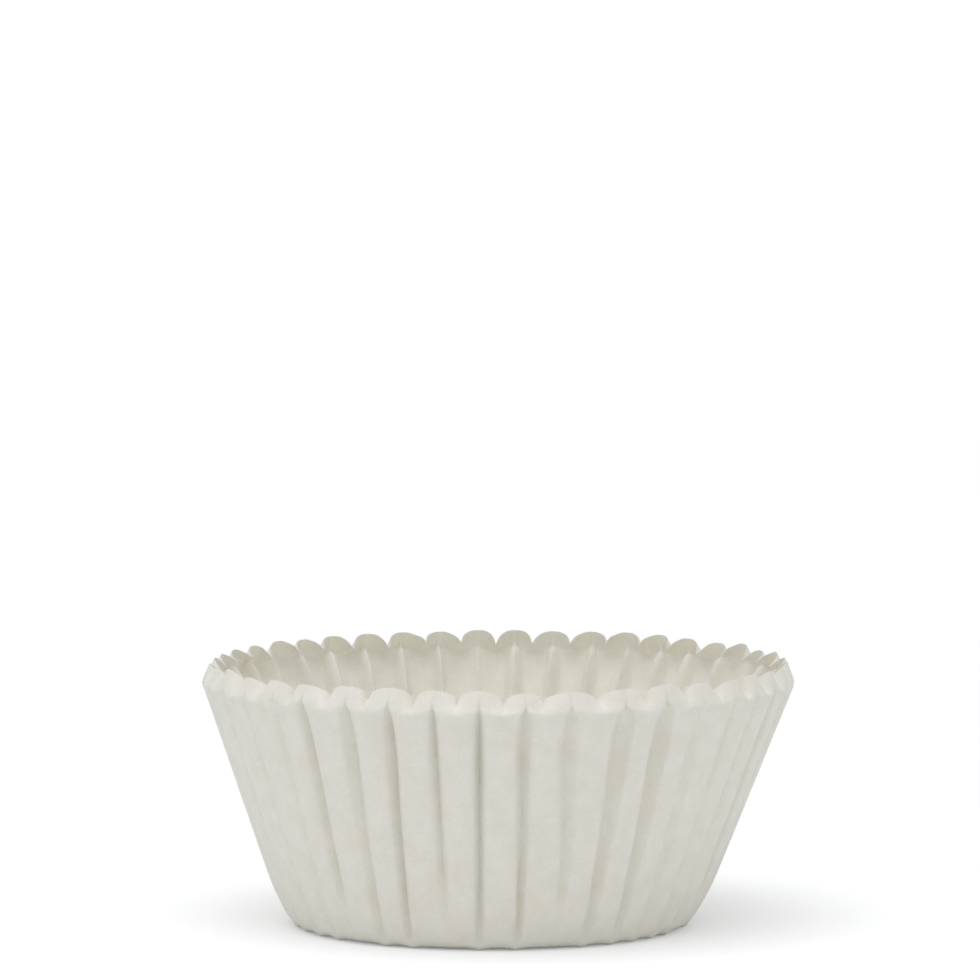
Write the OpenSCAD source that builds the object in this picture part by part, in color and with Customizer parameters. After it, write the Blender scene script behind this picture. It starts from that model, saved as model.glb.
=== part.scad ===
// Cupcake liner: one disc of greaseproof paper, pressed into a cup.
// The base stays flat. The paper that the cone has no room for is folded into
// flutes: broad panels outside, with narrow slits between them. Above a crease
// the lip leans in, each slit is pinched shut and each panel is notched.

/* [Cup] */
// Radius of the flat part of the base
base_r = 22.5; // [15:0.5:40]
// Radius of the bend from the base to the wall
bend_r = 3; // [2:0.1:4]
// Lean of the heel outwards, just above the bend
heel_lean = 28; // [24:1:36]
// Height at which the heel ends and the straight wall begins
heel_h = 5; // [4:0.5:8]
// Lean of the straight wall outwards
wall_lean = 20.5; // [15:0.5:24]
// Height of the crease at the top of the wall
crease_h = 29.5; // [18:0.5:40]

/* [Lip] */
// Width of the lip, along the paper from the crease to the edge
lip_w = 2.7; // [1.5:0.1:3.2]
// Height up the lip by which the slits are pinched, as a width along the paper
pinch_w = 0.9; // [0.6:0.1:1.2]
// Lean of the lip inwards, beside a slit
lip_lean = 25; // [10:1:35]
// Lean of the lip inwards, at the notch in a panel
notch_lean = 65; // [45:1:70]

/* [Flutes] */
// Number of flutes
flutes = 42; // [30:1:48]
// Width of a slit's mouth at the bend
slit_low_w = 1.5; // [1.2:0.1:1.6]
// Width of a slit's mouth at the crease
slit_top_w = 1.2; // [0.9:0.1:1.4]
// Width of a slit's mouth in the lip
slit_lip_w = 0.2; // [0.2:0.05:0.5]
// Width of a slit's floor
floor_w = 0.3; // [0.2:0.05:0.5]
// Depth of a slit at the edge of the lip
slit_edge_d = 0.8; // [0.4:0.1:1.2]
// Fall of a panel's sides below its middle
crown = 0.12; // [0:0.02:0.2]

/* [Paper] */
// Thickness of the paper
paper_t = 0.1; // [0.06:0.01:0.14]

/* [Hidden] */

pitch = 360 / flutes;
// Share of a half panel, from the slit (0) to the middle (1), of each column of points
panel_cols = [0, 0.45, 0.8, 1];
n_half = len(panel_cols);
cols_per_flute = 2 * n_half + 1;
n_cols = flutes * cols_per_flute;

// The profile of the panels. The bend turns from flat to the heel's slope.
bend_turn = 90 - heel_lean;
bend_top = [base_r + bend_r * sin(bend_turn), bend_r * (1 - cos(bend_turn))];
heel_top = bend_top + (heel_h - bend_top.y) * [tan(heel_lean), 1];
crease = heel_top + (crease_h - heel_h) * [tan(wall_lean), 1];
pinch = crease + pinch_w * [-sin(lip_lean), cos(lip_lean)];
edge = crease + lip_w * [-sin(lip_lean), cos(lip_lean)];
notch_dir = [-sin(notch_lean), cos(notch_lean)];

// Radius that each level had in the flat disc of paper
bend_flat_r = base_r + bend_r * bend_turn * PI / 180;
heel_flat_r = bend_flat_r + norm(heel_top - bend_top);
crease_flat_r = heel_flat_r + norm(crease - heel_top);

// Depth of a slit that takes up all the paper that a circle of radius r has no room for
function slit_d(flat_r, r, mouth_w) =
    let (
        spare = 2 * PI * (flat_r - r) / flutes,
        slope = mouth_w - floor_w
    )
    sqrt(pow(spare + slope, 2) - slope * slope) / 2;

// Direction in which a slit goes in, square to a profile that leans outwards by lean
function inward(lean) = [-cos(lean), sin(lean)];

// Levels of the sheet, from the base to the edge of the lip:
// [panel point, direction of a slit, slit depth, mouth width, middle of the panel, crown]
bend_mid_turn = bend_turn / 2;
bend_mid = [base_r + bend_r * sin(bend_mid_turn), bend_r * (1 - cos(bend_mid_turn))];
bend_mid_flat_r = base_r + bend_r * bend_mid_turn * PI / 180;
rim_in = inward((wall_lean - lip_lean) / 2);
levels = [
    [[base_r, 0], inward(90), 0, slit_low_w, [base_r, 0], 0],
    [bend_mid, inward(90 - bend_mid_turn), slit_d(bend_mid_flat_r, bend_mid.x, slit_low_w),
        slit_low_w, bend_mid, 0],
    [bend_top, inward(heel_lean), slit_d(bend_flat_r, bend_top.x, slit_low_w),
        slit_low_w, bend_top, crown / 2],
    [heel_top, inward(wall_lean), slit_d(heel_flat_r, heel_top.x, slit_low_w),
        slit_low_w, heel_top, crown],
    [crease, rim_in, slit_d(crease_flat_r, crease.x, slit_top_w), slit_top_w, crease, crown],
    [pinch, rim_in, (slit_d(crease_flat_r, crease.x, slit_top_w) + slit_edge_d) / 2,
        slit_lip_w, crease + pinch_w * notch_dir, 0],
    [edge, rim_in, slit_edge_d, slit_lip_w, crease + lip_w * notch_dir, 0],
];
n_levels = len(levels);

// How far a column of the panel has gone from the slit's side to the panel's middle:
// the paper rounds over beside the slit and dips sharply at the middle
function dip(share) = 1 - sqrt(1 - share * share);

// Angle that a width takes up on a circle of radius r
function width_angle(w, r) = w / r * 180 / PI;

// Point at a profile point's radius and height, turned by an angle from the front
function place(p, angle) = [p.x * sin(angle), -p.x * cos(angle), p.y];

// The points of one flute at a level, from the middle of its slit to the next slit
function flute_points(level, first) =
    let (
        p = level[0],
        half_mouth = width_angle(level[3], p.x) / 2,
        half_floor = width_angle(floor_w, p.x) / 2,
        half_panel = pitch / 2 - half_mouth,
        deep = p + level[2] * level[1],
        side = [for (s = panel_cols)
            p + dip(s) * (level[4] - p) + (1 - s) * (1 - s) * level[5] * level[1]]
    )
    [
        place(deep, first + half_floor),
        for (k = [0 : n_half - 1])
            place(side[k], first + half_mouth + panel_cols[k] * half_panel),
        for (k = [n_half - 2 : -1 : 0])
            place(side[k], first + pitch - half_mouth - panel_cols[k] * half_panel),
        place(deep, first + pitch - half_floor),
    ];

outer = [for (level = levels)
    [for (f = [0 : flutes - 1]) each flute_points(level, (f - 0.5) * pitch)]];

// Unit normal, pointing into the cup, of the strip between two columns at a level
function strip_normal(i, j) =
    let (
        next = (j + 1) % n_cols,
        low = max(i - 1, 0),
        high = min(i + 1, n_levels - 1),
        across = outer[i][next] - outer[i][j],
        up = outer[high][j] + outer[high][next] - outer[low][j] - outer[low][next],
        n = cross(up, across)
    )
    i == 0 ? [0, 0, 1] : n / norm(n);

// The inner face: every point moved in, so that both strips beside it keep the thickness
function inner_ring(i) =
    let (normals = [for (j = [0 : n_cols - 1]) strip_normal(i, j)])
    [for (j = [0 : n_cols - 1])
        let (a = normals[(j + n_cols - 1) % n_cols], b = normals[j])
        outer[i][j] + paper_t * (a + b) / (1 + a * b)];

inner = [for (i = [0 : n_levels - 1]) inner_ring(i)];

// Two triangles for each four-sided patch between two rings of points
function band(low, high) = [
    for (j = [0 : n_cols - 1])
        let (next = (j + 1) % n_cols)
        each [[low + j, high + j, high + next], [low + j, high + next, low + next]]
];

// Triangles from a ring of points to one point at its middle
function fan(ring, middle) = [
    for (j = [0 : n_cols - 1]) [ring + j, ring + (j + 1) % n_cols, middle]
];

function flip(faces) = [for (f = faces) [f[2], f[1], f[0]]];

module liner() {
    inner_start = n_levels * n_cols;
    last = (n_levels - 1) * n_cols;
    under_middle = 2 * n_levels * n_cols;
    floor_middle = under_middle + 1;
    color("ivory")
        polyhedron(
            points = concat(
                [for (ring = outer) each ring],
                [for (ring = inner) each ring],
                [[0, 0, 0], [0, 0, paper_t]]
            ),
            faces = concat(
                [for (i = [0 : n_levels - 2]) each band(i * n_cols, (i + 1) * n_cols)],
                [for (i = [0 : n_levels - 2])
                    each flip(band(inner_start + i * n_cols, inner_start + (i + 1) * n_cols))],
                band(last, inner_start + last),
                fan(0, under_middle),
                flip(fan(inner_start, floor_middle))
            )
        );
}

liner();
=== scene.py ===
import math
import random
from collections import namedtuple

import bmesh
import bpy
from mathutils import Euler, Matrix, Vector


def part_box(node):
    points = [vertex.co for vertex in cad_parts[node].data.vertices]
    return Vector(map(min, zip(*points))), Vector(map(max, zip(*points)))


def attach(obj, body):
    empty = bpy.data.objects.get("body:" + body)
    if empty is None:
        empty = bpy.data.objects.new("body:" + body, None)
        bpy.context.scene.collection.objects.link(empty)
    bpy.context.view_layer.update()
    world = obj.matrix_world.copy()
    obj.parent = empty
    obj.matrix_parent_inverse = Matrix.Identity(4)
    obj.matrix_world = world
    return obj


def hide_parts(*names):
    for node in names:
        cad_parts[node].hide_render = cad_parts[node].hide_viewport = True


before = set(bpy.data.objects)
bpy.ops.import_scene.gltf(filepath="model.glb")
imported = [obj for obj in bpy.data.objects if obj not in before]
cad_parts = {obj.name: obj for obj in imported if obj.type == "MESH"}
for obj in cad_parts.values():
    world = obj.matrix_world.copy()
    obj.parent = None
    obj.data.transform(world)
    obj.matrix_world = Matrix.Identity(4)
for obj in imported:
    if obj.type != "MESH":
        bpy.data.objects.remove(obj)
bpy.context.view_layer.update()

MM = 0.001
cup_low, cup_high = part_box("liner")

# Sizes of the cup. The crease's radius comes from the frame.
FLUTES = 42
PITCH = math.tau / FLUTES
CREASE_R = (cup_high[1] - cup_low[1]) / 2
CREASE_H = 29.5 * MM
BASE_R = 22.5 * MM
BEND_R = 3 * MM
HEEL_LEAN = math.radians(28)
HEEL_H = 5 * MM
PAPER_T = 0.1 * MM

# Sizes of the lip
LIP_W = 2.8 * MM
LIP_LEAN = math.radians(23)
NOTCH_LEAN = math.radians(68)

# Sizes of the slits between the panels
MOUTH_LOW = 1.3 * MM
MOUTH_TOP = 2.0 * MM
SLIT_FLOOR_W = 0.3 * MM
# Depth of a slit's side, as a share of the depth at its middle
SIDE_DEPTH = 0.55
# A slit goes in this many times as far as its paper needs, because smoothing takes some of it off
DEEPENING = 1.25
# Least depth of a slit on the wall. Its depth at the top of the bend is half of that.
LOW_DEPTH = 1.5 * MM
# Fall of a panel's sides below its middle
CROWN = 0.26 * MM

# How sharp the folds stay when the sheet is smoothed, from 0 to 1
CREASE_SHARPNESS = 0.75
NOTCH_SHARPNESS = 0.85
SLIT_SHARPNESS = 0.3
# A fold of the finished paper that turns by more than this is shaded as an edge
EDGE_TURN = math.radians(50)

# How this cup differs from an even one. It leans to the right by this share of its height.
LEAN_TO_RIGHT = 0.031
# The lip is this much higher at the front. It rises in equal steps, and each of them lifts what
# lies in front of one of these places, as shares of the crease's radius behind the axis.
FRONT_LIP_RISE = 0.25 * MM
RISE_PLACES = (-0.75, -0.5, -0.25, 0, 0.25, 0.5, 0.75)
# Unevenness of the pressed paper, and the seed of all that is left to chance
WOBBLE = 0.03 * MM
SEED = 11
# Degrees by which a slit at the cup's side sits further back than its even place, at the top of
# the wall, and how many more at the bottom. It makes the panels at the front wider.
TOP_SPREAD = 4.6
LOW_SPREAD = 2
# Usual stray of a slit in degrees, at the top of the wall, and how many more at the bottom
TOP_STRAY = 0.35
LOW_STRAY = 0.6
# Slits are counted to the right from the one just left of the front. These sit this many
# degrees to the right of their even places at the top, and this many more at the bottom.
TOP_SHIFTS = {0: 0.1, 1: 0.4, 2: 0.7, 3: 3.3, 4: 3.7, 5: 4.2, 6: 5,
              36: -3.2, 37: -2.1, 38: -2.8, 39: -1.1, 40: -0.7, 41: -0.3}
LOW_SHIFTS = {0: 0.5, 1: 2.1, 2: 4.2, 3: 1.7, 4: 2.6, 5: 2.2, 6: 1.4,
              36: -0.8, 37: -1.4, 38: -1.2, 39: -1.1, 40: -1.4, 41: 0.4}
# About how many millimetres wider than usual these slits' mouths are near the top of the wall
TOP_WIDENINGS = {0: -0.4, 1: 0.2, 2: 0.7, 3: 1.1, 4: 1, 5: 0.2, 6: -0.4, 7: -0.4,
                 35: -0.4, 36: -0.4, 37: -0.3, 38: -0.3, 39: 0.4, 40: -0.2, 41: -0.4}
# Least and most, in millimetres, by which the other mouths are wider there, and by which the paper
# of any slit lies further out
MOUTH_SPAN = (-0.5, 0.6)
OUTWARD_SPAN = (-0.25, 0.25)
# Shares of the crease's height. Below each of them a slit wanders a step further.
SWING_SHARES = (0.2, 0.4, 0.6, 0.8)
# Slits that fade on their way down, the heights between which they do, and the share of their
# depth that is left
EARLY_ENDS = (2, 8, 11, 13, 17, 20, 24, 26, 30, 33, 38, 41)
FADE_HIGH = 8 * MM
FADE_LOW = 2 * MM
FADED_DEPTH = 0.1
# Slits that are pressed flat above the bend, and the share of their depth that is left there
PRESSED_SLITS = (5, 6, 7, 14, 22, 28, 34, 35, 36, 37)
PRESSED_DEPTH = 0.45
# Slits that stay sharp on their way down, and the shares by which they are deeper and narrower
# at the bottom
SHARP_SLITS = (0, 1, 16, 31, 40)
DEEPER = 0.2
NARROWER = 0.2
# Usual change, in millimetres, in how high and how far out an arch of the lip reaches
ARCH_RISE = 0.12
ARCH_REACH = 0.1
# Usual stray of a notch in degrees, and the least and most, in millimetres, by which it is higher
NOTCH_STRAY = 0.35
NOTCH_SPAN = (-0.25, 0.3)

# Shares of a half panel, from the slit (0) to the panel's middle (1), that have a column of points
HALF_PANEL = (0.0, 0.3, 0.65, 0.9, 1.0)
COLUMNS = 2 * len(HALF_PANEL) + 2
MIDDLE = COLUMNS // 2
ROUND = FLUTES * COLUMNS

# Radius of each ring of points on the flat base
BASE_RADII = (16 * MM, 19.6 * MM, 21.4 * MM, BASE_R)
# Shares of the bend that have a ring
BEND_SHARES = (0.25, 0.5, 0.75, 1)
# Heights on the heel that have a ring, and the share of LOW_DEPTH that the slits are deep there
HEEL_RINGS = ((3.2 * MM, 0.65), (HEEL_H, 0.85))
# Shares of the wall's height that have a ring, and the shares of a slit's mouth and depth there
WALL_RINGS = ((0.12, 1, 1), (0.27, 1, 1), (0.44, 1, 1), (0.62, 1, 1), (0.8, 1, 0.95),
              (0.92, 0.95, 0.82), (1, 0.75, 0.6))
# Shares of the lip's width that have a ring, and how wide and how deep the slits are there
LIP_RINGS = ((0.14, 0.6 * MM, 0.95 * MM), (0.28, 0.25 * MM, 0.4 * MM), (0.62, 0.6 * MM, 0.08 * MM),
             (1, 0.8 * MM, 0.05 * MM))

# Colours of the paper: where its pulp is cloudy and thin, and where it is thick
PAPER_DARK = (0.835, 0.817, 0.75, 1)
PAPER_LIGHT = (0.895, 0.882, 0.83, 1)
# Clouds and grains to a metre, and the levels of noise between which a cloud turns light
CLOUDS = 420
GRAINS = 5200
CLOUD_LEVELS = (0.3, 0.7)
# Fibres to a metre, how long they are for their width, the ways they lie, as turns of Z, and the
# levels of noise between which a fibre turns light
FIBRES = 3200
FIBRE_LENGTH = 7
FIBRE_TURNS = ((0.3, 0.2, 0), (1.3, 0, 0.4), (1.5, 0, 1.3), (0.8, 0.3, 2.2), (1.4, 0, 2.9))
FIBRE_LEVELS = (0.55, 0.8)
# How far clouds, fibres and the band along the crease take the paper from dark to light
CLOUD_LIGHT = 0.6
FIBRE_LIGHT = 0.6
CREASE_BAND_LIGHT = 0.4
# How far up and down from the crease the paper is lighter and rougher, the levels of cloud between
# which it is more so, and how much so it is elsewhere
CREASE_BAND_W = 0.4 * MM
CREASE_BAND_LEVELS = (0.4, 0.6)
CREASE_BAND_LEAST = 0.2
# Roughness of the paper where it is thin and where it is thick, what the band along the crease adds,
# and its sheen
ROUGHNESS = (0.62, 0.5)
CREASE_BAND_ROUGHNESS = 0.15
SHEEN = 0.35
# How far light scatters in the paper, and the share of that for red, green and blue
SCATTER = 1.3 * PAPER_T
SCATTER_COLOUR = (1, 0.95, 0.85)
# Height of the fibres, how strongly they show, and the grain's share in it
RELIEF_H = 0.05 * MM
RELIEF_STRENGTH = 0.7
GRAIN_SHARE = 0.4

# The floor: its width, how far it lies below the base, and its paint
FLOOR_W = 12
FLOOR_GAP = 0.05 * MM
FLOOR_COLOUR = (0.935, 0.945, 0.96, 1)
FLOOR_ROUGHNESS = 0.9
# Distances from the cup's axis between which the floor looks brighter and brighter, and its glow
# to the camera at each
GLOW_REACH = (0.15, 1.2)
GLOW = (0.25, 0.55)

# Light from all round, and the lamp above: its width, watts and place
ROOM_LIGHT = 0.525
LAMP_W = 1.2
LAMP_POWER = 6.7
LAMP_PLACE = (-0.15, -0.35, 1.2)

# The camera, fitted to the cup's outline in the photograph
CAMERA_DISTANCE = 1.0
CAMERA_DOWN = math.radians(5.156)
CAMERA_ROUND = math.radians(0.45)
PIXELS_PER_M = 8191
BASE_PIXEL = (490.76, 921.93)
FRAME_PIXELS = 980
SENSOR_W = 36

# A ring of points: where the panels are, how deep and wide the slits are, how far up the lip it
# is, and how far out and up the paper is pressed at a slit
Ring = namedtuple("Ring", "radius height depth mouth lip corner", defaults=(0, (0, 0)))


def bend_point(turned):
    """Radius and height on the bend, after it has turned up by this angle."""
    return BASE_R + BEND_R * math.sin(turned), BEND_R * (1 - math.cos(turned))


BEND_TURN = math.pi / 2 - HEEL_LEAN
# From either end of the bend to where the base and the heel would meet in a sharp corner
CORNER_REACH = BEND_R * math.tan(BEND_TURN / 2)
FOOT_R, FOOT_H = bend_point(BEND_TURN)
HEEL_R = FOOT_R + (HEEL_H - FOOT_H) * math.tan(HEEL_LEAN)
WALL_LEAN = math.atan2(CREASE_R - HEEL_R, CREASE_H - HEEL_H)


def wall_radius(height):
    """Radius of the panels on the heel and the wall."""
    if height <= HEEL_H:
        return FOOT_R + (height - FOOT_H) * math.tan(HEEL_LEAN)
    return HEEL_R + (height - HEEL_H) * math.tan(WALL_LEAN)


def flat_radius(height):
    """Radius that a height on the heel or the wall had in the flat disc of paper."""
    flat = BASE_R + BEND_R * BEND_TURN
    flat += (min(height, HEEL_H) - FOOT_H) / math.cos(HEEL_LEAN)
    return flat + max(height - HEEL_H, 0) / math.cos(WALL_LEAN)


def slit_depth(radius, height, mouth):
    """Depth of a slit that takes up the paper that the cup has no room for."""
    spare = math.tau * (flat_radius(height) - radius) / FLUTES
    slope = mouth - SLIT_FLOOR_W
    return math.sqrt((spare + slope) ** 2 - slope ** 2) / 2


def corner_point(share):
    """Radius and height after this share of the bend, if it is pressed into a sharp corner."""
    along = 2 * share * CORNER_REACH
    up = max(along - CORNER_REACH, 0)
    radius = BASE_R + min(along, CORNER_REACH) + up * math.cos(BEND_TURN)
    return radius, up * math.sin(BEND_TURN)


def bend_rings():
    """Rings up the bend. Slits begin halfway up it, and there the paper is pressed into a corner."""
    rings = []
    for share in BEND_SHARES:
        radius, height = bend_point(share * BEND_TURN)
        depth = max(2 * share - 1, 0) * LOW_DEPTH / 2
        corner_r, corner_h = corner_point(share)
        corner = (corner_r - radius, corner_h - height)
        rings.append(Ring(radius, height, depth, MOUTH_LOW, corner=corner))
    return rings


def wall_rings():
    """Rings up the heel and the wall, as far as the crease."""
    rings = []
    for height, share in HEEL_RINGS:
        rings.append(Ring(wall_radius(height), height, share * LOW_DEPTH, MOUTH_LOW))
    for share, opening, deepness in WALL_RINGS:
        height = HEEL_H + share * (CREASE_H - HEEL_H)
        radius = wall_radius(height)
        mouth = opening * (MOUTH_LOW + share * (MOUTH_TOP - MOUTH_LOW))
        depth = max(deepness * DEEPENING * slit_depth(radius, height, mouth), LOW_DEPTH)
        rings.append(Ring(radius, height, depth, mouth))
    return rings


def lip_rings():
    """Rings from just above the crease to the edge of the lip, where the slits are pressed shut."""
    rings = []
    for share, mouth, depth in LIP_RINGS:
        width = share * LIP_W
        radius = CREASE_R - width * math.sin(LIP_LEAN)
        height = CREASE_H + width * math.cos(LIP_LEAN)
        rings.append(Ring(radius, height, depth, mouth, width))
    return rings


RINGS = [Ring(radius, 0, 0, MOUTH_LOW) for radius in BASE_RADII]
RINGS += bend_rings() + wall_rings()
CREASE_RING = len(RINGS) - 1
RINGS += lip_rings()


def in_order(sheet):
    """The selected points, in order round the cup from the middle of the slit left of the front."""
    mesh = bmesh.from_edit_mesh(sheet.data)
    order = {}
    for point in mesh.verts:
        if point.select:
            angle = math.atan2(point.co.x, -point.co.y) + PITCH / 2
            order[round(angle / math.tau * ROUND) % ROUND] = point.index
    return [order[place] for place in range(ROUND)]


def pick(sheet, points):
    """Selects only these points, and the edges between them."""
    bpy.ops.mesh.select_all(action="DESELECT")
    mesh = bmesh.from_edit_mesh(sheet.data)
    mesh.verts.ensure_lookup_table()
    for point in points:
        mesh.verts[point].select = True
    mesh.select_flush(True)
    bmesh.update_edit_mesh(sheet.data)


def turn(angle):
    """Turns the selected points to the right round the cup, as seen from its front."""
    bpy.ops.transform.rotate(value=-angle, orient_axis="Z", center_override=(0, 0, 0))


def scale_round(factor):
    """Moves the selected points towards the cup's axis or away from it."""
    bpy.ops.transform.resize(value=(factor, factor, 1), center_override=(0, 0, 0))


def move(across, up):
    """Moves the selected points to the right and up."""
    bpy.ops.transform.translate(value=(across, 0, up))


def raise_sheet():
    """A circle on the base, extruded ring by ring out to the bend and up to the edge of the lip."""
    bpy.ops.object.select_all(action="DESELECT")
    bpy.ops.mesh.primitive_circle_add(vertices=ROUND, radius=RINGS[0].radius, location=(0, 0, 0))
    sheet = bpy.context.object
    sheet.name = "paper_cup"
    bpy.ops.object.mode_set(mode="EDIT")
    bpy.ops.mesh.select_mode(type="VERT")
    bpy.ops.mesh.select_all(action="SELECT")
    points = [in_order(sheet)]
    for below, ring in zip(RINGS, RINGS[1:]):
        rise = ring.height - below.height
        bpy.ops.mesh.extrude_region_move(TRANSFORM_OT_translate={"value": (0, 0, rise)})
        scale_round(ring.radius / below.radius)
        points.append(in_order(sheet))
    return sheet, points


def column_angle(ring, column):
    """Angle of a column from the middle of the slit on its left."""
    if column > MIDDLE:
        return PITCH - column_angle(ring, COLUMNS - column)
    half_mouth = ring.mouth / ring.radius / 2
    if column == 0:
        return 0
    if column == 1:
        return (half_mouth + min(SLIT_FLOOR_W, ring.mouth) / ring.radius / 2) / 2
    return half_mouth + HALF_PANEL[column - 2] * (PITCH / 2 - half_mouth)


def profile_lean(height):
    """Lean of the cup's profile outwards at this height, where flat is a quarter turn."""
    if height < FOOT_H:
        return math.pi / 2 - math.acos(1 - height / BEND_R)
    return WALL_LEAN if height > HEEL_H else HEEL_LEAN


def column_place(ring, column):
    """How far in and up a column goes from the ring's own radius and height."""
    side = min(column, COLUMNS - column)
    pressed = (1 - column_angle(ring, side) / (PITCH / 2)) ** 2
    out, up = (pressed * way for way in ring.corner)
    if side < 2:
        depth = ring.depth * (1 if side == 0 else SIDE_DEPTH)
        lean = profile_lean(ring.height)
        return depth * math.cos(lean) - out, depth * math.sin(lean) * (ring.lip == 0) + up
    share = HALF_PANEL[side - 2]
    if ring.lip:
        dip = (1 - math.sqrt(1 - share ** 2)) * ring.lip * math.sqrt(ring.lip / LIP_W)
        inwards = dip * (math.sin(NOTCH_LEAN) - math.sin(LIP_LEAN))
        return inwards, dip * (math.cos(NOTCH_LEAN) - math.cos(LIP_LEAN))
    return CROWN * (1 - share) ** 2 * min(ring.height / HEEL_H, 1) - out, up


def fold_flutes(sheet, points):
    """Folds the flutes: turns each column to its place, and pushes it in and up."""
    special = EARLY_ENDS + PRESSED_SLITS + SHARP_SLITS
    usual = [slit for slit in range(FLUTES) if slit not in special]
    for ring, row in zip(RINGS, points):
        fade = min(max((ring.height - FADE_LOW) / (FADE_HIGH - FADE_LOW), FADED_DEPTH), 1)
        pressed = max(1 - ring.height / HEEL_H, PRESSED_DEPTH)
        down = max(1 - ring.height / CREASE_H, 0)
        kinds = ((usual, 1, 1), (EARLY_ENDS, fade, 1), (PRESSED_SLITS, pressed, 1),
                 (SHARP_SLITS, 1 + DEEPER * down, 1 - NARROWER * down))
        for slits, depth_share, mouth_share in kinds:
            corner = [min(depth_share, 1) * way for way in ring.corner]
            fold = ring._replace(depth=depth_share * ring.depth, mouth=mouth_share * ring.mouth,
                                 corner=corner)
            for step in range(1 - MIDDLE, MIDDLE + 1):
                column = step % COLUMNS
                pick(sheet, [row[(slit * COLUMNS + step) % ROUND] for slit in slits])
                turn(column_angle(fold, column) - column * PITCH / COLUMNS)
                inwards, upwards = column_place(fold, column)
                scale_round((ring.radius - inwards) / ring.radius)
                move(0, upwards)


def blend_round(values, place):
    """Value at a column: the slit's own in a slit, and a share of both slits' across a panel."""
    slit, column = divmod(place, COLUMNS)
    side = min(column, COLUMNS - column)
    half = HALF_PANEL[max(side - 2, 0)] / 2
    share = half if column <= MIDDLE else 1 - half
    return (1 - share) * values[slit] + share * values[(slit + 1) % FLUTES]


def shift_slits(sheet, points, chance):
    """Sets each slit to one side of its even place, and lets it wander a little on its way down."""
    sideways = [math.sin((slit - 0.5) * PITCH) for slit in range(FLUTES)]
    shifts = [TOP_SHIFTS.get(slit, TOP_SPREAD * side + chance.gauss(0, TOP_STRAY))
              for slit, side in enumerate(sideways)]
    swings = [LOW_SHIFTS.get(slit, LOW_SPREAD * side + chance.gauss(0, LOW_STRAY))
              / len(SWING_SHARES) for slit, side in enumerate(sideways)]
    for place in range(ROUND):
        pick(sheet, [row[place] for row in points[1:]])
        turn(math.radians(blend_round(shifts, place)))
        for share in SWING_SHARES:
            rows = [row for ring, row in zip(RINGS, points) if ring.height < share * CREASE_H]
            pick(sheet, [row[place] for row in rows[1:]])
            turn(math.radians(blend_round(swings, place)))


def vary_mouths(sheet, points, chance):
    """Makes the slits of the wall differ in width, more so towards the crease, and in depth."""
    wall = [row for ring, row in zip(RINGS, points) if HEEL_H < ring.height <= CREASE_H]
    below_crease = wall[:-1]
    for slit in range(FLUTES):
        widening = TOP_WIDENINGS.get(slit, chance.uniform(*MOUTH_SPAN)) * MM / CREASE_R
        for steps, angle in (((-2, -1), -widening / 2), ((1, 2), widening / 2)):
            places = [(slit * COLUMNS + step) % ROUND for step in steps]
            for first in range(0, len(below_crease), 2):
                pick(sheet, [row[place] for row in below_crease[first:] for place in places])
                turn(angle * 2 / len(wall))
            pick(sheet, [wall[-1][place] for place in places])
            turn(angle / 2)
        outward = chance.uniform(*OUTWARD_SPAN) * MM / CREASE_R
        places = [(slit * COLUMNS + step) % ROUND for step in (-1, 0, 1)]
        pick(sheet, [row[place] for row in below_crease for place in places])
        scale_round(1 + outward)


def vary_lip(sheet, points, chance):
    """Makes the arches and the notches of the lip differ in height and place."""
    rows = points[CREASE_RING + 2:]
    for slit in range(FLUTES):
        arch = [(slit * COLUMNS + step) % ROUND for step in range(1 - MIDDLE, MIDDLE)]
        pick(sheet, [row[place] for row in rows for place in arch])
        move(0, chance.gauss(0, ARCH_RISE) * MM)
        scale_round(1 + chance.gauss(0, ARCH_REACH) * MM / CREASE_R)
        notch = [(slit * COLUMNS + MIDDLE + step) % ROUND for step in (-1, 0, 1)]
        pick(sheet, [row[place] for row in rows for place in notch])
        turn(math.radians(chance.gauss(0, NOTCH_STRAY)))
        move(0, chance.uniform(*NOTCH_SPAN) * MM)


def lean_cup(sheet, points):
    """The cup leans a little to the right, and its lip is higher at the front."""
    for ring, row in zip(RINGS, points):
        pick(sheet, row)
        move(LEAN_TO_RIGHT * ring.height, 0)
    for ring, row in zip(RINGS, points):
        if ring.lip:
            for place in RISE_PLACES:
                mesh = bmesh.from_edit_mesh(sheet.data)
                mesh.verts.ensure_lookup_table()
                pick(sheet, [point for point in row if mesh.verts[point].co.y < place * CREASE_R])
                move(0, FRONT_LIP_RISE / len(RISE_PLACES) * ring.lip / LIP_W)


def wrinkle(sheet, points):
    """Moves the points of the wall and lip a little, for the unevenness of pressed paper."""
    rows = [row for ring, row in zip(RINGS, points) if ring.height > FOOT_H]
    pick(sheet, [point for row in rows for point in row])
    bpy.ops.transform.vertex_random(offset=WOBBLE, seed=SEED)


def crease_folds(sheet, points):
    """Keeps the folds sharp when the sheet is smoothed."""
    pick(sheet, [point for place, point in enumerate(points[CREASE_RING])
                 if 2 <= place % COLUMNS <= COLUMNS - 2])
    bpy.ops.transform.edge_crease(value=CREASE_SHARPNESS)
    lip = points[CREASE_RING + 1:]
    for rows, column, sharpness in ((lip, MIDDLE, NOTCH_SHARPNESS), (points, 0, SLIT_SHARPNESS)):
        for flute in range(FLUTES):
            pick(sheet, [row[flute * COLUMNS + column] for row in rows])
            bpy.ops.transform.edge_crease(value=sharpness)
    pick(sheet, points[-1][MIDDLE::COLUMNS])
    bpy.ops.transform.vert_crease(value=1)


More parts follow.
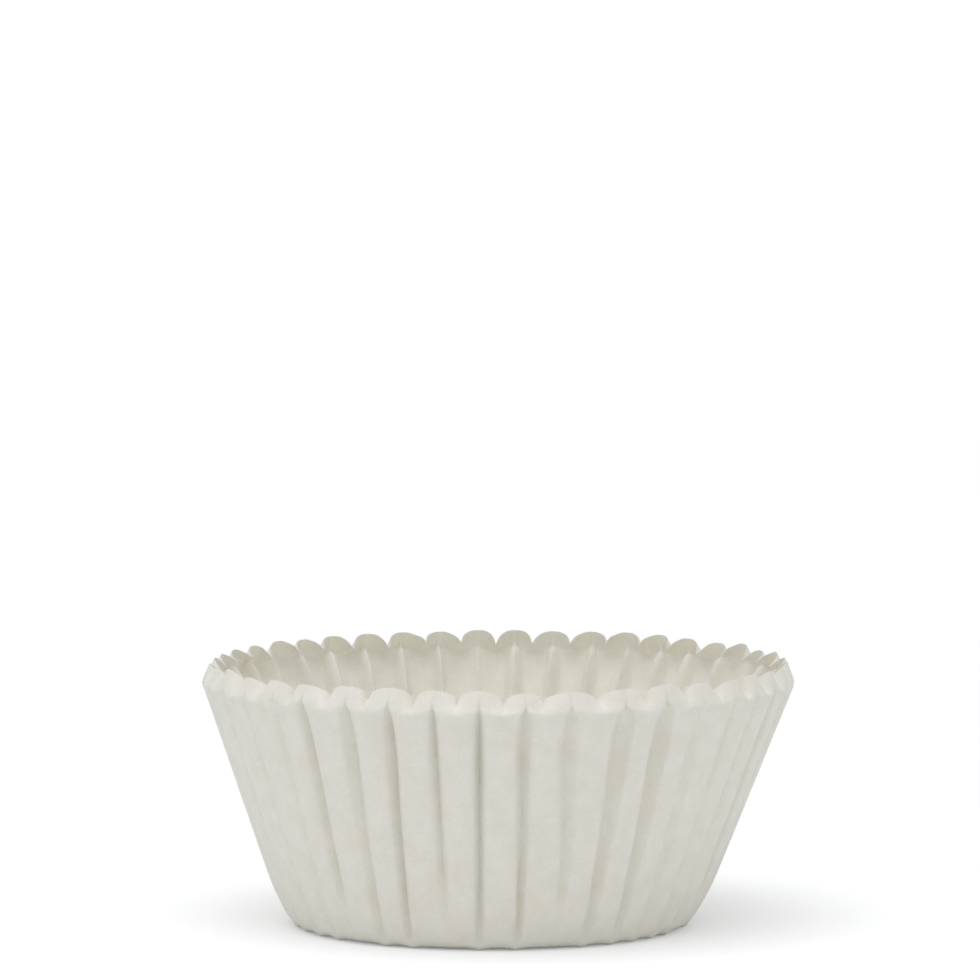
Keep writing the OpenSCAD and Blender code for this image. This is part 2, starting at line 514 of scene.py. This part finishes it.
def close_base(sheet):
    """The middle of the flat base, which is closed once the rest is smooth."""
    bpy.ops.object.mode_set(mode="EDIT")
    mesh = bmesh.from_edit_mesh(sheet.data)
    pick(sheet, [point.index for point in mesh.verts if point.is_boundary and point.co.z < HEEL_H])
    bpy.ops.mesh.extrude_region_move(TRANSFORM_OT_translate={"value": (0, 0, 0)})
    bpy.ops.mesh.merge(type="CENTER")
    bpy.ops.mesh.select_all(action="SELECT")
    bpy.ops.mesh.normals_make_consistent(inside=False)
    bpy.ops.object.mode_set(mode="OBJECT")


def thicken(sheet):
    """Smooths the folded sheet and gives it the thickness of paper, on the inside."""
    bpy.ops.object.mode_set(mode="OBJECT")
    smooth = sheet.modifiers.new("smooth", "SUBSURF")
    smooth.levels = smooth.render_levels = 1
    bpy.ops.object.modifier_apply(modifier="smooth")
    close_base(sheet)
    paper = sheet.modifiers.new("paper", "SOLIDIFY")
    paper.thickness = PAPER_T
    paper.offset = -1
    bpy.ops.object.modifier_apply(modifier="paper")
    bpy.ops.object.shade_smooth_by_angle(angle=EDGE_TURN)


def paper_cup():
    """The liner: one sheet, folded, made uneven and thickened."""
    chance = random.Random(SEED)
    sheet, points = raise_sheet()
    fold_flutes(sheet, points)
    shift_slits(sheet, points, chance)
    vary_mouths(sheet, points, chance)
    vary_lip(sheet, points, chance)
    lean_cup(sheet, points)
    wrinkle(sheet, points)
    crease_folds(sheet, points)
    thicken(sheet)
    sheet.data.materials.append(greaseproof_paper())
    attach(sheet, "root")
    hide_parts("liner")


def noise(material, scale, detail, turned=(0, 0, 0), length=1):
    """Noise over the object's own coordinates, which may be drawn out along a turned axis."""
    nodes, links = material.node_tree.nodes, material.node_tree.links
    place = nodes.new("ShaderNodeTexCoord")
    mapping = nodes.new("ShaderNodeMapping")
    mapping.vector_type = "TEXTURE"
    mapping.inputs["Rotation"].default_value = turned
    mapping.inputs["Scale"].default_value = (1, 1, length)
    cloud = nodes.new("ShaderNodeTexNoise")
    cloud.inputs["Scale"].default_value = scale
    cloud.inputs["Detail"].default_value = detail
    links.new(place.outputs["Object"], mapping.inputs["Vector"])
    links.new(mapping.outputs["Vector"], cloud.inputs["Vector"])
    return cloud.outputs["Fac"]


def spread(material, value, low, high, to_low, to_high):
    """Maps a value from one span to another."""
    node = material.node_tree.nodes.new("ShaderNodeMapRange")
    node.inputs["From Min"].default_value = low
    node.inputs["From Max"].default_value = high
    node.inputs["To Min"].default_value = to_low
    node.inputs["To Max"].default_value = to_high
    material.node_tree.links.new(value, node.inputs["Value"])
    return node.outputs["Result"]


def reckon(material, operation, first, second=0):
    """What an operation makes of one or two values, such as their product."""
    node = material.node_tree.nodes.new("ShaderNodeMath")
    node.operation = operation
    for value, socket in zip((first, second), node.inputs):
        if isinstance(value, (int, float)):
            socket.default_value = value
        else:
            material.node_tree.links.new(value, socket)
    return node.outputs[0]


def crease_band(material, clouds):
    """How much lighter and rougher the paper is: patches along the crease, where it is folded over
    sharply.
    """
    nodes, links = material.node_tree.nodes, material.node_tree.links
    place = nodes.new("ShaderNodeTexCoord")
    axes = nodes.new("ShaderNodeSeparateXYZ")
    links.new(place.outputs["Object"], axes.inputs["Vector"])
    above_crease = reckon(material, "SUBTRACT", axes.outputs["Z"], CREASE_H)
    off_crease = reckon(material, "ABSOLUTE", above_crease)
    band = spread(material, off_crease, 0, CREASE_BAND_W, 1, 0)
    patches = spread(material, clouds, *CREASE_BAND_LEVELS, CREASE_BAND_LEAST, 1)
    return reckon(material, "MULTIPLY", band, patches)


def greaseproof_paper():
    """Thin off-white paper: cloudy pulp, short fibres, a faint sheen, and light scattered in it."""
    material = bpy.data.materials.new("greaseproof_paper")
    material.use_nodes = True
    links = material.node_tree.links
    shader = material.node_tree.nodes["Principled BSDF"]
    clouds = noise(material, CLOUDS, detail=3)
    grain = noise(material, GRAINS, detail=3)
    fibres = noise(material, FIBRES, detail=1, turned=FIBRE_TURNS[0], length=FIBRE_LENGTH)
    for turned in FIBRE_TURNS[1:]:
        more_fibres = noise(material, FIBRES, detail=1, turned=turned, length=FIBRE_LENGTH)
        fibres = reckon(material, "MAXIMUM", fibres, more_fibres)
    # The paper is lighter and rougher in patches in a thin band along the crease
    along_crease = crease_band(material, clouds)

    tint = material.node_tree.nodes.new("ShaderNodeMix")
    tint.data_type = "RGBA"
    tint.inputs["A"].default_value = PAPER_DARK
    tint.inputs["B"].default_value = PAPER_LIGHT
    thickness = reckon(material, "ADD", spread(material, clouds, *CLOUD_LEVELS, 0, CLOUD_LIGHT),
                       spread(material, fibres, *FIBRE_LEVELS, 0, FIBRE_LIGHT))
    crease_band_light = reckon(material, "MULTIPLY", along_crease, CREASE_BAND_LIGHT)
    lightness = reckon(material, "ADD", thickness, crease_band_light)
    links.new(lightness, tint.inputs["Factor"])
    links.new(tint.outputs["Result"], shader.inputs["Base Color"])

    usual_roughness = spread(material, clouds, *CLOUD_LEVELS, *ROUGHNESS)
    crease_band_roughness = reckon(material, "MULTIPLY", along_crease, CREASE_BAND_ROUGHNESS)
    roughness = reckon(material, "ADD", usual_roughness, crease_band_roughness)
    links.new(roughness, shader.inputs["Roughness"])
    shader.inputs["Specular IOR Level"].default_value = SHEEN
    shader.inputs["Subsurface Weight"].default_value = 1
    shader.inputs["Subsurface Radius"].default_value = SCATTER_COLOUR
    shader.inputs["Subsurface Scale"].default_value = SCATTER

    relief = reckon(material, "ADD", fibres, reckon(material, "MULTIPLY", grain, GRAIN_SHARE))
    bump = material.node_tree.nodes.new("ShaderNodeBump")
    bump.inputs["Strength"].default_value = RELIEF_STRENGTH
    bump.inputs["Distance"].default_value = RELIEF_H
    links.new(relief, bump.inputs["Height"])
    links.new(bump.outputs["Normal"], shader.inputs["Normal"])
    return material


def lay_floor():
    """A pale floor, a hair below the base. The camera sees it white where no shadow falls on it."""
    bpy.ops.mesh.primitive_plane_add(size=FLOOR_W, location=(0, 0, -FLOOR_GAP))
    floor = bpy.context.object
    floor.name = "floor"
    paint = bpy.data.materials.new("floor_paint")
    paint.use_nodes = True
    nodes, links = paint.node_tree.nodes, paint.node_tree.links
    shader = nodes["Principled BSDF"]
    shader.inputs["Base Color"].default_value = FLOOR_COLOUR
    shader.inputs["Roughness"].default_value = FLOOR_ROUGHNESS
    shader.inputs["Emission Color"].default_value = (1, 1, 1, 1)
    place = nodes.new("ShaderNodeTexCoord")
    away = nodes.new("ShaderNodeVectorMath")
    away.operation = "LENGTH"
    links.new(place.outputs["Object"], away.inputs[0])
    glow = spread(paint, away.outputs["Value"], *GLOW_REACH, *GLOW)
    ray = nodes.new("ShaderNodeLightPath")
    seen_glow = reckon(paint, "MULTIPLY", glow, ray.outputs["Is Camera Ray"])
    links.new(seen_glow, shader.inputs["Emission Strength"])
    floor.data.materials.append(paint)


def light_studio():
    """Even light from all round, white to the camera, and a large soft lamp above."""
    studio = bpy.data.worlds.new("studio")
    bpy.context.scene.world = studio
    studio.use_nodes = True
    background = studio.node_tree.nodes["Background"]
    background.inputs["Color"].default_value = (1, 1, 1, 1)
    ray = studio.node_tree.nodes.new("ShaderNodeLightPath")
    level = spread(studio, ray.outputs["Is Camera Ray"], 0, 1, ROOM_LIGHT, 1)
    studio.node_tree.links.new(level, background.inputs["Strength"])
    lamp = bpy.data.lights.new("top_lamp", "AREA")
    lamp.shape = "DISK"
    lamp.size = LAMP_W
    lamp.energy = LAMP_POWER
    top = bpy.data.objects.new("top_lamp", lamp)
    top.location = LAMP_PLACE
    bpy.context.collection.objects.link(top)


def place_camera():
    """The photograph's camera, which looks down a little and has the cup low in its picture."""
    lens = bpy.data.cameras.new("camera")
    lens.sensor_width = SENSOR_W
    lens.lens = PIXELS_PER_M * CAMERA_DISTANCE / FRAME_PIXELS * SENSOR_W
    camera = bpy.data.objects.new("camera", lens)
    bpy.context.collection.objects.link(camera)
    camera.rotation_euler = Euler((math.pi / 2 - CAMERA_DOWN, 0, -CAMERA_ROUND))
    across = (FRAME_PIXELS / 2 - BASE_PIXEL[0]) / PIXELS_PER_M
    up = (BASE_PIXEL[1] - FRAME_PIXELS / 2) / PIXELS_PER_M
    camera.location = camera.rotation_euler.to_matrix() @ Vector((across, up, CAMERA_DISTANCE))
    bpy.context.scene.camera = camera
    bpy.context.scene.view_settings.view_transform = "Standard"


paper_cup()
lay_floor()
light_studio()
place_camera()
